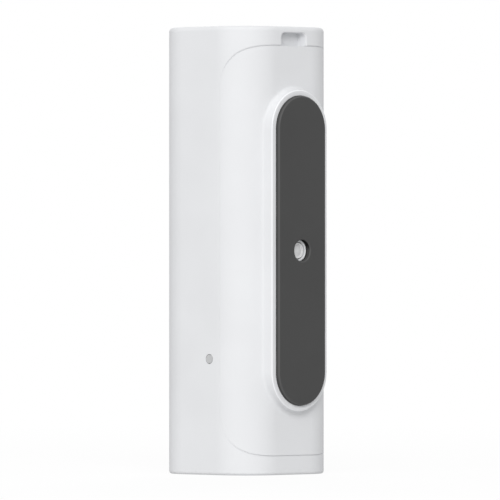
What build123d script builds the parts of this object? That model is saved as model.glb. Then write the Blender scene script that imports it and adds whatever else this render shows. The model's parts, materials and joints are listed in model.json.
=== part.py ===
from build123d import *
import os
from math import cos, radians, sin, sqrt

# Video doorbell in a square, soft-cornered column. All sizes are in millimetres.
# +Z is up, the front faces -Y, and the origin is on the wall, in the middle of the two wall screws.

# Outer body
BODY_W = 42.0
BODY_D = 42.0
BODY_H = 140.0
CORNER_R = 13.1
TOP_EDGE_R = 1.4
BOTTOM_EDGE_R = 0.9
WALL = 2.2
BASE_T = 2.5
CROWN_T = 2.5
CROWN_SOLID = 6.0

# Front cover, which wraps the front corners and rolls down in the curved seam at its foot
COVER_DEPTH = 11.6
COVER_MARGIN = 5.95
COVER_END_R = 13.8
COVER_WALL = 2.0
SEAM_GAP = 0.3
RIB_T = 1.2
RIB_RISE = 1.4
RIB_GAP = 6.0
FLANGE_T = 2.2
BEAD_W = 12.0
BEAD_R = 0.45
BEAD_RISE = 0.22
BEAD_ANGLE = 62.0

# Hooks that hold the cover's foot and the curved tracks that they run in
COVER_SWING = 60.0
HOOK_START = -70.0
HOOK_SPAN = 10.0
HOOK_X = 7.0
HOOK_STEM_W = 2.0
HOOK_LIP_W = 5.0
HOOK_LIP_T = 0.9
HOOK_CLEAR = 0.3
TRACK_END_ANGLE = 3.0
GUARD_START = -110.0
GUARD_END = 58.0
TRACK_LIP_T = 1.0
TRACK_BACK_T = 1.6
TRACK_SIDE_T = 1.7

# Thumb notch over the cover's upper edge
NOTCH_W = 11.0
NOTCH_H = 3.95
NOTCH_D = 3.0
NOTCH_R = 1.4
NOTCH_BEVEL = 0.25

# Plinth and bell push plate
PLATE_SIDE_MARGIN = 10.6
PLATE_END_MARGIN = 21.7
PLATE_T = 1.4
PLATE_PROUD = 1.25
PLATE_GAP = 0.15
PLATE_CHAMFER = 0.4
RIM_W = 1.65
RIM_CHAMFER = 0.25
PLINTH_RISE = 2.55
PLINTH_DRAFT = 9.0
PLINTH_FILLET = 1.1
SEAL_T = 0.6
SEAL_W = 1.6
SEAL_INSET = 0.6
PUSH_TRAVEL = 0.4
GUIDE_INSET = 14.3
STEM_R = 1.6
STEM_CLEAR = 0.15
GUIDE_WALL = 1.5
GUIDE_LENGTH = 3.5
CLIP_T = 0.8
CLIP_R = 3.2
CLIP_CLEAR = 0.05

# Camera
APERTURE_R = 3.4
APERTURE_BEVEL = 0.3
LENS_HOLE_R = 2.8
LENS_NOSE_R = 2.3
LENS_NOSE_SINK = 0.2
LENS_NOSE_LENGTH = 2.8
LENS_CONE_LENGTH = 2.0
LENS_GLASS_R = 1.9
LENS_GLASS_SINK = 0.2
LENS_GLASS_T = 1.0
LENS_GLASS_CROWN = 0.2
LENS_GLASS_CLEAR = 0.05
LENS_RELIEF_R = 5.2
LENS_RELIEF_D = 1.4
BARREL_R = 4.2
BARREL_THREAD_R = 3.5
BARREL_THREAD_LENGTH = 3.0
CAMERA_SIZE = 11.6
CAMERA_CLEAR = 0.2
CAMERA_BOARD_T = 1.0
TURRET_RISE = 4.6
TURRET_WALL = 1.5
RETAINER_T = 0.8
RETAINER_LAP = 0.6
RETAINER_CORNER_R = 1.0
RETAINER_SCREW_X = 4.5
CONNECTOR_W = 8.0
CONNECTOR_H = 4.0
CONNECTOR_CLEAR = 0.2

# Inner frame that closes the housing behind the cover
FRAME_SIDE_GAP = 0.75
FRAME_END_GAP = 1.0
FRAME_SWING_GAP = 0.8
FRAME_SIDE_LAND = 3.7
FRAME_TOP_LAND = 9.6
FRAME_T = 2.0
FRAME_R = 4.0
GASKET_T = 0.8
WINDOW_CLEAR = 0.2
WINDOW_R = 2.5
FRAME_SCREW_INSET = 2.0
FRAME_SCREW_EDGE = 2.9
BOSS_R = 2.2
BOSS_LENGTH = 2.0

# Battery and the well that it slides into
BATTERY_EDGE_R = 2.0
BATTERY_CLEAR = 0.4
WELL_WALL = 1.2
WELL_GAP = 1.0
WELL_BACK_GAP = 2.5
GRIP_W = 12.0
GRIP_H = 7.0
GRIP_D = 3.0
GRIP_R = 1.8
GRIP_RIDGE = 1.4

# Boards, switches and what is on the main board
BOARD_CLEAR = 0.5
BOARD_T = 1.6
BOARD_CORNER_R = 1.5
STANDOFF_R = 2.0
STANDOFF_EDGE = 2.2
STANDOFF_GAP = 3.0
SWITCH_SIZE = 6.0
SWITCH_T = 3.5
SWITCH_BORE_D = 1.6
BELL_SWITCH_Z = -16.0
BELL_PLUNGER_R = 1.7
BELL_PLUNGER_RISE = 7.0
PLUNGER_CLEAR = 0.15
PRESS_GAP = 0.1
GROMMET_R = 3.2
SHIELD_SIZE = 13.0
SHIELD_T = 2.5
SHIELD_R = 1.0
SHIELD_GAP = 1.4
RADIO_W = 17.0
RADIO_H = 9.0
RADIO_T = 2.6
RADIO_GAP = 1.4
CONTACT_W = 10.0
CONTACT_H = 6.0
CONTACT_REACH = 3.0
CONTACT_T = 5.0
CONTACT_PIN_R = 0.6
CONTACT_PIN_X = 2.5
CONTACT_SLOT_W = 8.0
CONTACT_SLOT_H = 3.0
AUDIO_PLUG_W = 8.0
AUDIO_PLUG_H = 3.0
AUDIO_PLUG_T = 3.0

# Reset button on the left side
RESET_RISE = 36.2
RESET_SETBACK = 4.8
RESET_R = 1.4
RESET_CLEAR = 0.15
RESET_FLANGE_R = 2.0
RESET_FLANGE_T = 0.8
RESET_SEAL_T = 0.6
RESET_SEAL_CLEAR = 0.05
RESET_STEM_R = 1.2
RESET_PLUNGER_R = 1.0
RESET_PLUNGER_RISE = 1.4
RESET_TRAVEL = 0.4
RESET_SWITCH_H = 6.0
RESET_SWITCH_W = 4.0

# Speaker and microphone in the base
SPEAKER_R = 9.0
SPEAKER_GAP = 1.4
SPEAKER_RIM_T = 1.5
SPEAKER_BASKET_H = 4.0
SPEAKER_MAGNET_R = 5.5
SPEAKER_MAGNET_H = 3.6
SPEAKER_CONE_R = 7.0
SPEAKER_CONE_D = 2.6
SPEAKER_DOME_R = 2.5
SPEAKER_SEAL_T = 0.6
SPEAKER_SEAL_W = 1.8
MESH_T = 0.2
GRILLE_R = 6.2
GRILLE_SLOT_W = 1.4
GRILLE_PITCH = 2.6
GRILLE_ROWS = 2
MIC_GAP = 1.4
MIC_PORT_R = 0.6
MIC_SEAL_R = 2.2
MIC_SEAL_T = 2.0
MIC_W = 3.8
MIC_D = 3.0
MIC_T = 1.2
LEAD_R = 0.6
LEAD_SIDES = 8
SPEAKER_LEAD_BEND = 3.0
MIC_LEAD_BEND = 4.0
SPEAKER_LEAD_X = 3.0

# Wall bracket, sunk in the back, with hooks and a locking screw
BRACKET_W = 20.0
BRACKET_T = 2.5
BRACKET_H = 108.0
BRACKET_RISE = 8.0
BRACKET_R = 4.0
BRACKET_CLEAR = 0.3
RECESS_WALL = 2.2
WALL_SCREW_SPACING = 72.0
WALL_SCREW_R = 2.25
WALL_SCREW_HEAD_R = 4.0
WALL_SCREW_SINK = 1.5
HANG_Z_HIGH = 16.0
HANG_Z_LOW = -22.0
HANG_W = 8.0
HANG_NECK_H = 2.0
HANG_LIP_H = 4.5
HANG_LIP_T = 1.7
HANG_POCKET_WALL = 1.6
FOOT_W = 10.0
FOOT_T = 2.5
FOOT_REACH = 8.6
FOOT_POCKET_WALL = 1.5
LOCK_R = 1.45
LOCK_CLEAR = 0.15
LOCK_HEAD_R = 2.8
LOCK_HEAD_T = 2.0
LOCK_HEAD_SINK = 0.4
LOCK_HEAD_CLEAR = 0.4

# Small self-tapping screws
SCREW_R = 1.0
SCREW_CLEAR = 0.05
SCREW_HOLE_CLEAR = 0.3
SCREW_HEAD_R = 1.9
SCREW_HEAD_T = 1.2
SCREW_LENGTH = 5.0
DRIVE_R = 0.9
DRIVE_D = 0.6
HEX_SIDES = 6

# Places worked out from the sizes above
BODY_TOP = BODY_H / 2
BODY_BOTTOM = -BODY_H / 2
CENTRE_Y = -BODY_D / 2
FRONT_Y = -BODY_D
SIDE_X = -BODY_W / 2
INNER_SIDE_X = SIDE_X + WALL
FLOOR_Z = BODY_BOTTOM + BASE_T

SPLIT_Y = FRONT_Y + COVER_DEPTH
COVER_H = BODY_H - 2 * COVER_MARGIN
COVER_TOP = COVER_H / 2
HINGE_Y = SPLIT_Y - COVER_END_R
HINGE_Z = COVER_END_R - COVER_TOP
COVER_INNER_Y = FRONT_Y + COVER_WALL
TRACK_OUT_R = COVER_END_R + SEAM_GAP + TRACK_LIP_T + 2 * HOOK_CLEAR + HOOK_LIP_T

PLATE_W = BODY_W - 2 * PLATE_SIDE_MARGIN
PLATE_H = BODY_H - 2 * PLATE_END_MARGIN
GUIDE_Z = PLATE_H / 2 - GUIDE_INSET
RIM_Y = FRONT_Y - PLINTH_RISE
PLATE_FACE_Y = RIM_Y - PLATE_PROUD
PLATE_BACK_Y = PLATE_FACE_Y + PLATE_T
POCKET_Y = PLATE_BACK_Y + SEAL_T
NOSE_TIP_Y = POCKET_Y + LENS_NOSE_SINK
GUIDE_END_Y = COVER_INNER_Y + GUIDE_LENGTH

FLANGE_Y = SPLIT_Y + SEAM_GAP
FRAME_BACK_Y = FLANGE_Y - GASKET_T
FRAME_FRONT_Y = FRAME_BACK_Y - FRAME_T
TURRET_Y = FRAME_FRONT_Y - TURRET_RISE
CAMERA_FRONT_Y = TURRET_Y + TURRET_WALL
CAMERA_BOARD_Y = FRAME_BACK_Y - CAMERA_BOARD_T
CAMERA_BAY = CAMERA_SIZE + 2 * CAMERA_CLEAR

# The frame stays inside the cover's round corners and clear of its foot as it swings
COVER_CORNER_R = CORNER_R - COVER_WALL
FRAME_CORNER_DROP = FRONT_Y + CORNER_R - FRAME_FRONT_Y
FRAME_HALF_W = BODY_W / 2 - CORNER_R + sqrt(COVER_CORNER_R**2 - FRAME_CORNER_DROP**2) - FRAME_SIDE_GAP
FRAME_W = 2 * FRAME_HALF_W
FRAME_LOW = HINGE_Z + sqrt(COVER_END_R**2 - (FRAME_FRONT_Y - HINGE_Y) ** 2) + FRAME_SWING_GAP
FRAME_TOP = -HINGE_Z - FRAME_END_GAP

RECESS_D = BRACKET_T + BRACKET_CLEAR
CAVITY_BACK_Y = -(RECESS_D + RECESS_WALL)
HANG_POCKET_Y = CAVITY_BACK_Y - 2 * BRACKET_CLEAR - HANG_LIP_T
HANG_BOSS_Y = HANG_POCKET_Y - HANG_POCKET_WALL
BRACKET_FOOT_Z = BODY_BOTTOM + BRACKET_RISE
BRACKET_TOP = BRACKET_FOOT_Z + BRACKET_H
FOOT_TOP = BRACKET_FOOT_Z + FOOT_T
FOOT_POCKET_Y = -FOOT_REACH - BRACKET_CLEAR
FOOT_BOSS_Y = FOOT_POCKET_Y - FOOT_POCKET_WALL
LOCK_Y = -(BRACKET_T + FOOT_REACH) / 2

RETAINER_W = CAMERA_BAY + 2 * RETAINER_LAP
RETAINER_TOP = CAMERA_BAY / 2 + RETAINER_LAP
RETAINER_SCREW_Z = -CAMERA_BAY / 2 - STANDOFF_R - SCREW_HOLE_CLEAR
RETAINER_LOW = RETAINER_SCREW_Z - STANDOFF_R
WINDOW_W = FRAME_W - 2 * FRAME_SIDE_LAND
WINDOW_TOP = FRAME_TOP - FRAME_TOP_LAND
WELL_BACK_Y = HANG_BOSS_Y - WELL_BACK_GAP
WELL_W = WINDOW_W - 2 * WINDOW_CLEAR
BATTERY_W = WELL_W - 2 * (BATTERY_CLEAR + WELL_WALL)
BATTERY_LOW = RETAINER_TOP + WELL_GAP + WELL_WALL + BATTERY_CLEAR
BATTERY_TOP = WINDOW_TOP - WINDOW_CLEAR - WELL_WALL - BATTERY_CLEAR

RESET_Z = BODY_BOTTOM + RESET_RISE
RESET_Y = SPLIT_Y + RESET_SETBACK
BOARD_W = WINDOW_W - 2 * BOARD_CLEAR
BOARD_TOP = BATTERY_LOW - CONTACT_REACH
BOARD_LOW = RESET_Z - RESET_SWITCH_H / 2
WINDOW_LOW = BOARD_LOW - BOARD_CLEAR
RESET_SWITCH_X = -BOARD_W / 2
BOARD_FRONT_Y = RESET_Y + SWITCH_T / 2
BOARD_BACK_Y = BOARD_FRONT_Y + BOARD_T
SWITCH_FRONT_Y = BOARD_FRONT_Y - SWITCH_T
PLUNGER_TIP_Y = SWITCH_FRONT_Y - BELL_PLUNGER_RISE

SPEAKER_Y = FOOT_BOSS_Y - SPEAKER_GAP - SPEAKER_R
SPEAKER_Z = FLOOR_Z + SPEAKER_SEAL_T
SPEAKER_MAGNET_Z = SPEAKER_Z + SPEAKER_RIM_T + SPEAKER_BASKET_H + SPEAKER_MAGNET_H
MIC_X = BODY_W / 2 - WALL - MIC_GAP - MIC_SEAL_R
MIC_TOP = FLOOR_Z + MIC_SEAL_T + MIC_T

FRAME_SCREW_X = WINDOW_W / 2 - FRAME_SCREW_INSET
FRAME_SCREWS = [
    (side * FRAME_SCREW_X, z)
    for side in (-1, 1)
    for z in (FRAME_LOW + FRAME_SCREW_EDGE, FRAME_TOP - FRAME_SCREW_EDGE)
]
STANDOFF_LOW = RESET_Z + RESET_SWITCH_H / 2 + STANDOFF_R + STANDOFF_GAP
STANDOFFS = [
    (side * (BOARD_W / 2 - STANDOFF_EDGE), z)
    for side in (-1, 1)
    for z in (STANDOFF_LOW, BOARD_TOP - STANDOFF_EDGE)
]
RETAINER_SCREWS = [(side * RETAINER_SCREW_X, RETAINER_SCREW_Z) for side in (-1, 1)]


def slab(outline, y_back, y_front):
    """An outline drawn in X and Z, extruded from y_back forward to y_front."""
    return extrude(Plane.XZ.offset(-y_back) * outline, amount=y_back - y_front)


def panel(width, low, top, radius, y_back, y_front):
    """An upright plate with rounded corners, centred on X."""
    outline = Pos(0, (low + top) / 2) * RectangleRounded(width, top - low, radius)
    return slab(outline, y_back, y_front)


def block(width, y_back, y_front, low, top, x=0.0):
    return Pos(x, (y_back + y_front) / 2, (low + top) / 2) * Box(width, y_back - y_front, top - low)


def rod_y(radius, y_back, y_front, x=0.0, z=0.0):
    return Pos(x, (y_back + y_front) / 2, z) * Rot(90, 0, 0) * Cylinder(radius, y_back - y_front)


def rod_x(radius, x_low, x_high, y, z):
    return Pos((x_low + x_high) / 2, y, z) * Rot(0, 90, 0) * Cylinder(radius, x_high - x_low)


def rod_z(radius, low, top, x, y):
    return Pos(x, y, (low + top) / 2) * Cylinder(radius, top - low)


def turned_y(points, x=0.0, z=0.0):
    """A solid of revolution about a line along Y, from points of (radius, y)."""
    outline = make_face(Polyline(*[(r, y) for r, y in points], close=True))
    return Pos(x, 0, z) * revolve(outline, Axis.Y)


def turned_z(points, x, y):
    """A solid of revolution about an upright line, from points of (radius, z)."""
    outline = make_face(Polyline(*[(r, 0, z) for r, z in points], close=True))
    return Pos(x, y, 0) * revolve(outline, Axis.Z)


def stadium(width, height):
    return SlotOverall(height, width, rotation=90)


def column(inset, low, top):
    """The body's square section with round corners, drawn in by inset."""
    outline = RectangleRounded(BODY_W - 2 * inset, BODY_D - 2 * inset, CORNER_R - inset)
    return Pos(0, CENTRE_Y, low) * extrude(outline, amount=top - low)


def cover_zone(grow):
    """The space of the cover in side view, with round ends, run out past the front and both sides."""
    length = COVER_DEPTH + 3 * COVER_END_R
    outline = RectangleRounded(length, COVER_H + 2 * grow, COVER_END_R + grow)
    face = Plane.YZ * Pos(SPLIT_Y + grow - length / 2, 0) * outline
    return extrude(face, amount=BODY_W, both=True)


def hinge_sector(x_low, x_high, r_in, r_out, start, end):
    """Part of a ring about the cover's hinge line, between two angles from +Y towards +Z."""
    far = 2 * r_out
    turns = [radians(angle) for angle in (start, (start + end) / 2, end)]
    wedge = make_face(Polyline((0, 0), *[(far * cos(a), far * sin(a)) for a in turns], close=True))
    ring = (Circle(r_out) - Circle(r_in)) & wedge
    return extrude(Plane.YZ.offset(x_low) * Pos(HINGE_Y, HINGE_Z) * ring, amount=x_high - x_low)


def pair(solid):
    """A solid and its mirror image across the middle plane."""
    return [solid, mirror(solid, about=Plane.YZ)]


def small_screw(x, z, y_seat, forward):
    """A pan-head screw along Y whose head rests on y_seat; its shank runs forward or back."""
    way = -1 if forward else 1
    tip = y_seat + way * SCREW_LENGTH
    shank = rod_y(SCREW_R, max(y_seat, tip), min(y_seat, tip), x, z)
    top = y_seat - way * SCREW_HEAD_T
    head = rod_y(SCREW_HEAD_R, max(y_seat, top), min(y_seat, top), x, z)
    floor = top + way * DRIVE_D
    drive = slab(Pos(x, z) * RegularPolygon(DRIVE_R, HEX_SIDES), max(top, floor), min(top, floor))
    return shank + head - drive


def hinge_track():
    """One curved track in the housing: a throat for the hook's stem and a wider space for its lip."""
    start = HOOK_START - TRACK_END_ANGLE
    end = HOOK_START + HOOK_SPAN + COVER_SWING + TRACK_END_ANGLE
    lip_in = COVER_END_R + SEAM_GAP + TRACK_LIP_T
    low = HOOK_X - HOOK_CLEAR
    throat = hinge_sector(low, HOOK_X + HOOK_STEM_W + HOOK_CLEAR, COVER_END_R, TRACK_OUT_R, start, end)
    undercut = hinge_sector(low, HOOK_X + HOOK_LIP_W + HOOK_CLEAR, lip_in, TRACK_OUT_R, start, end)
    return throat + undercut


def hinge_guard():
    """The thicker wall behind one curved track."""
    low = HOOK_X - HOOK_CLEAR - TRACK_SIDE_T
    high = HOOK_X + HOOK_LIP_W + HOOK_CLEAR + TRACK_SIDE_T
    return hinge_sector(low, high, COVER_END_R, TRACK_OUT_R + TRACK_BACK_T, GUARD_START, GUARD_END)


def cover_hook():
    """One hook on the cover's round foot: a stem and a lip to the side."""
    lip_in = COVER_END_R + SEAM_GAP + TRACK_LIP_T + HOOK_CLEAR
    lip_out = lip_in + HOOK_LIP_T
    end = HOOK_START + HOOK_SPAN
    stem = hinge_sector(HOOK_X, HOOK_X + HOOK_STEM_W, COVER_END_R - COVER_WALL / 2, lip_out, HOOK_START, end)
    lip = hinge_sector(HOOK_X, HOOK_X + HOOK_LIP_W, lip_in, lip_out, HOOK_START, end)
    return stem + lip


def snap_bead(radius, length):
    """The bead along the cover's upper end, or its groove, as a rod across the body."""
    reach = COVER_END_R - BEAD_R + BEAD_RISE
    y = HINGE_Y + reach * cos(radians(BEAD_ANGLE))
    z = -HINGE_Z + reach * sin(radians(BEAD_ANGLE))
    return rod_x(radius, -length / 2, length / 2, y, z)


def hang_pocket(z):
    """The space in the housing's back for one bracket hook, with room to lift off it."""
    width = HANG_W + 2 * BRACKET_CLEAR
    neck_top = z + HANG_NECK_H + BRACKET_CLEAR
    low = z - HANG_LIP_H - 2 * BRACKET_CLEAR
    mouth = block(width, -RECESS_D + BRACKET_CLEAR, HANG_POCKET_Y, low, neck_top)
    behind = block(width, CAVITY_BACK_Y, HANG_POCKET_Y, low, neck_top + HANG_LIP_H)
    return mouth + behind


def hang_boss(z):
    wall = HANG_POCKET_WALL
    width = HANG_W + 2 * BRACKET_CLEAR + 2 * wall
    low = z - HANG_LIP_H - 2 * BRACKET_CLEAR - wall
    top = z + HANG_NECK_H + BRACKET_CLEAR + HANG_LIP_H + wall
    return block(width, CAVITY_BACK_Y + RECESS_WALL / 2, HANG_BOSS_Y, low, top)


def speaker_grille():
    """Slots under the speaker, each as long as a circle about the cone lets it be."""
    low = BODY_BOTTOM - BASE_T
    slots = []
    for row in range(-GRILLE_ROWS, GRILLE_ROWS + 1):
        x = row * GRILLE_PITCH
        length = 2 * sqrt(GRILLE_R**2 - x**2)
        outline = Pos(x, SPEAKER_Y, low) * SlotOverall(length, GRILLE_SLOT_W, rotation=90)
        slots.append(extrude(outline, amount=FLOOR_Z + BASE_T / 2 - low))
    return slots


def thumb_notch():
    """A pocket over the cover's upper edge, with a bevel round its mouth."""
    notch_top = COVER_TOP + NOTCH_H
    pocket = panel(NOTCH_W, COVER_TOP - NOTCH_H, notch_top, NOTCH_R, FRONT_Y + NOTCH_D, FRONT_Y)
    mouth = pocket.faces().sort_by(Axis.Y)[0]
    return pocket + extrude(offset(mouth, NOTCH_BEVEL), amount=-NOTCH_BEVEL, taper=45)


def rear_housing():
    body = column(0, BODY_BOTTOM, BODY_TOP)
    body = fillet(body.faces().sort_by(Axis.Z)[-1].edges(), TOP_EDGE_R)
    body = fillet(body.faces().sort_by(Axis.Z)[0].edges(), BOTTOM_EDGE_R)
    body -= cover_zone(SEAM_GAP)

    cavity = column(WALL, FLOOR_Z, BODY_TOP - CROWN_T)
    cavity &= block(BODY_W, CAVITY_BACK_Y, FRONT_Y + CROWN_SOLID, BODY_BOTTOM, BODY_TOP)
    cavity -= cover_zone(SEAM_GAP + FLANGE_T)
    cavity -= pair(hinge_guard())
    body -= cavity
    body += [hang_boss(z) for z in (HANG_Z_HIGH, HANG_Z_LOW)]
    foot_top = FOOT_TOP + BRACKET_CLEAR
    foot_width = FOOT_W + 2 * BRACKET_CLEAR
    body += block(
        foot_width + 2 * FOOT_POCKET_WALL,
        CAVITY_BACK_Y + RECESS_WALL / 2,
        FOOT_BOSS_Y,
        FLOOR_Z - BASE_T / 2,
        foot_top + FOOT_POCKET_WALL,
    )
    boss_back = FLANGE_Y + FLANGE_T + BOSS_LENGTH
    body += [rod_y(BOSS_R, boss_back, FLANGE_Y + FLANGE_T / 2, x, z) for x, z in FRAME_SCREWS]

    body -= panel(WINDOW_W, WINDOW_LOW, WINDOW_TOP, WINDOW_R, FLANGE_Y + 2 * FLANGE_T, FLANGE_Y - FLANGE_T)
    body -= pair(hinge_track())
    body -= snap_bead(BEAD_R + SEAM_GAP, BEAD_W + 2 * SEAM_GAP)

    body -= thumb_notch()

    recess_low = BRACKET_FOOT_Z - BRACKET_CLEAR
    recess_top = BRACKET_TOP + BRACKET_CLEAR
    recess_width = BRACKET_W + 2 * BRACKET_CLEAR
    body -= panel(recess_width, recess_low, recess_top, BRACKET_R + BRACKET_CLEAR, RECESS_D, -RECESS_D)
    body -= [hang_pocket(z) for z in (HANG_Z_HIGH, HANG_Z_LOW)]
    body -= block(foot_width, 0, FOOT_POCKET_Y, recess_low, foot_top)
    body -= rod_z(LOCK_R + LOCK_CLEAR, BODY_BOTTOM - BASE_T, foot_top, 0, LOCK_Y)
    head_top = BODY_BOTTOM + LOCK_HEAD_SINK + LOCK_HEAD_T
    body -= rod_z(LOCK_HEAD_R + LOCK_HEAD_CLEAR, BODY_BOTTOM - BASE_T, head_top, 0, LOCK_Y)

    pilot_front = FLANGE_Y - FLANGE_T
    body -= [rod_y(SCREW_R + SCREW_CLEAR, boss_back, pilot_front, x, z) for x, z in FRAME_SCREWS]
    body -= rod_x(RESET_R + RESET_CLEAR, SIDE_X - WALL, INNER_SIDE_X + WALL / 2, RESET_Y, RESET_Z)
    body -= speaker_grille()
    body -= rod_z(MIC_PORT_R, BODY_BOTTOM - BASE_T, FLOOR_Z + BASE_T / 2, MIC_X, SPEAKER_Y)
    return body


def plinth():
    """The raised stadium round the push plate, with sloping sides that run down into the cover."""
    rim_w = PLATE_W + 2 * (PLATE_GAP + RIM_W)
    rim_h = PLATE_H + 2 * (PLATE_GAP + RIM_W)
    backward = Plane(origin=(0, RIM_Y, 0), x_dir=(1, 0, 0), z_dir=(0, 1, 0))
    depth = PLINTH_RISE + CORNER_R / 4
    raised = extrude(backward * stadium(rim_w, rim_h), amount=depth, taper=-PLINTH_DRAFT)
    return chamfer(raised.faces().sort_by(Axis.Y)[0].edges(), RIM_CHAMFER)


def front_cover():
    cover = column(0, BODY_BOTTOM, BODY_TOP) & cover_zone(0)
    before = cover.edges()
    cover += plinth()
    foot_line = [edge for edge in cover.edges() - before if edge.center().Y > RIM_Y + PLINTH_RISE / 2]
    cover = fillet(foot_line, PLINTH_FILLET)

    opening = block(BODY_W, FLANGE_Y, SPLIT_Y - COVER_END_R, HINGE_Z, -HINGE_Z)
    hollow = column(COVER_WALL, BODY_BOTTOM, BODY_TOP) & cover_zone(-COVER_WALL).fuse(opening)
    cover -= hollow
    rib_y = COVER_INNER_Y + RIB_RISE
    for z in (GUIDE_Z - RIB_GAP, GUIDE_Z + RIB_GAP, -GUIDE_Z - RIB_GAP, -GUIDE_Z + RIB_GAP):
        rib = block(BODY_W, rib_y, FRONT_Y, z - RIB_T / 2, z + RIB_T / 2)
        cover += rib & column(COVER_WALL / 2, BODY_BOTTOM, BODY_TOP)
    for z in (GUIDE_Z, -GUIDE_Z, BELL_SWITCH_Z):
        cover += rod_y(STEM_R + STEM_CLEAR + GUIDE_WALL, GUIDE_END_Y, COVER_INNER_Y - COVER_WALL / 2, 0, z)
        cover -= rod_y(STEM_R + STEM_CLEAR, GUIDE_END_Y + GUIDE_LENGTH, PLATE_FACE_Y, 0, z)
    pocket = stadium(PLATE_W + 2 * PLATE_GAP, PLATE_H + 2 * PLATE_GAP)
    cover -= slab(pocket, POCKET_Y, PLATE_FACE_Y)
    cover -= rod_y(LENS_HOLE_R, COVER_INNER_Y + COVER_WALL, PLATE_FACE_Y)
    relief_y = COVER_INNER_Y - LENS_RELIEF_D
    relief = [(0, COVER_INNER_Y), (LENS_RELIEF_R, COVER_INNER_Y), (LENS_HOLE_R, relief_y), (0, relief_y)]
    cover -= turned_y(relief)
    cover += pair(cover_hook())
    cover += snap_bead(BEAD_R, BEAD_W)
    return cover


def push_plate():
    plate = slab(stadium(PLATE_W, PLATE_H), PLATE_BACK_Y, PLATE_FACE_Y)
    plate = chamfer(plate.faces().sort_by(Axis.Y)[0].edges(), PLATE_CHAMFER)
    for z in (GUIDE_Z, -GUIDE_Z):
        plate += rod_y(STEM_R, GUIDE_END_Y + 2 * CLIP_T, PLATE_BACK_Y - PLATE_T / 2, 0, z)
    plate += rod_y(STEM_R, PLUNGER_TIP_Y - PRESS_GAP, PLATE_BACK_Y - PLATE_T / 2, 0, BELL_SWITCH_Z)
    plate -= rod_y(APERTURE_R, PLATE_BACK_Y + PLATE_T, PLATE_FACE_Y - PLATE_T)
    lip = APERTURE_R + APERTURE_BEVEL
    bevel_y = PLATE_FACE_Y + APERTURE_BEVEL
    plate -= turned_y([(0, PLATE_FACE_Y), (lip, PLATE_FACE_Y), (APERTURE_R, bevel_y), (0, bevel_y)])
    return plate


def plate_seal():
    """Foam under the plate: a stadium ring near its edge and a round ring about the lens."""
    outer_w = PLATE_W - 2 * SEAL_INSET
    outer_h = PLATE_H - 2 * SEAL_INSET
    edge = stadium(outer_w, outer_h) - stadium(outer_w - 2 * SEAL_W, outer_h - 2 * SEAL_W)
    lens = Circle(APERTURE_R + SEAL_W) - Circle(APERTURE_R)
    return Compound(children=[slab(edge, POCKET_Y, PLATE_BACK_Y), slab(lens, POCKET_Y, PLATE_BACK_Y)])


def stem_clips():
    front = GUIDE_END_Y + CLIP_CLEAR
    ring = Circle(CLIP_R) - Circle(STEM_R + SCREW_CLEAR)
    return Compound(children=[slab(Pos(0, z) * ring, front + CLIP_T, front) for z in (GUIDE_Z, -GUIDE_Z)])


def frame_gasket():
    ring = panel(FRAME_W, FRAME_LOW, FRAME_TOP, FRAME_R, FLANGE_Y, FRAME_BACK_Y)
    ring -= panel(WINDOW_W, WINDOW_LOW, WINDOW_TOP, WINDOW_R, FLANGE_Y + GASKET_T, FRAME_BACK_Y - GASKET_T)
    ring -= [rod_y(SCREW_R + SCREW_HOLE_CLEAR, FLANGE_Y, FRAME_BACK_Y, x, z) for x, z in FRAME_SCREWS]
    return ring


def inner_frame():
    frame = panel(FRAME_W, FRAME_LOW, FRAME_TOP, FRAME_R, FRAME_BACK_Y, FRAME_FRONT_Y)
    turret = CAMERA_BAY + 2 * TURRET_WALL
    frame += slab(RectangleRounded(turret, turret, TURRET_WALL), FRAME_BACK_Y, TURRET_Y)
    frame += [rod_y(STANDOFF_R, FRAME_BACK_Y, TURRET_Y, x, z) for x, z in RETAINER_SCREWS]
    frame -= slab(Rectangle(CAMERA_BAY, CAMERA_BAY), FRAME_BACK_Y, CAMERA_FRONT_Y)
    frame -= rod_y(BARREL_R + CAMERA_CLEAR, CAMERA_FRONT_Y, TURRET_Y)

    bay_w = BATTERY_W + 2 * BATTERY_CLEAR
    bay_low = BATTERY_LOW - BATTERY_CLEAR
    bay_top = BATTERY_TOP + BATTERY_CLEAR
    corner = BATTERY_EDGE_R + BATTERY_CLEAR
    frame += panel(WELL_W, bay_low - WELL_WALL, bay_top + WELL_WALL, corner, WELL_BACK_Y, FRAME_BACK_Y)
    frame -= panel(bay_w, bay_low, bay_top, corner, WELL_BACK_Y - WELL_WALL, FRAME_FRONT_Y)
    slot_y = BOARD_BACK_Y + CONTACT_T / 2
    frame -= block(
        CONTACT_SLOT_W,
        slot_y + CONTACT_SLOT_H / 2,
        slot_y - CONTACT_SLOT_H / 2,
        bay_low - 2 * WELL_WALL,
        bay_low + WELL_WALL,
    )
    frame += [rod_y(STANDOFF_R, BOARD_FRONT_Y, FRAME_BACK_Y, x, z) for x, z in STANDOFFS]
    pilot = SCREW_R + SCREW_CLEAR
    frame -= [rod_y(pilot, BOARD_FRONT_Y, BOARD_BACK_Y - SCREW_LENGTH - WALL / 2, x, z) for x, z in STANDOFFS]
    frame -= rod_y(GROMMET_R, FRAME_BACK_Y, FRAME_FRONT_Y, 0, BELL_SWITCH_Z)
    frame -= [rod_y(pilot, FRAME_BACK_Y, FRAME_BACK_Y - SCREW_LENGTH, x, z) for x, z in RETAINER_SCREWS]
    frame -= [rod_y(SCREW_R + SCREW_HOLE_CLEAR, FRAME_BACK_Y, FRAME_FRONT_Y, x, z) for x, z in FRAME_SCREWS]
    return frame


def frame_screws():
    return Compound(children=[small_screw(x, z, FRAME_FRONT_Y, False) for x, z in FRAME_SCREWS])


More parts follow.
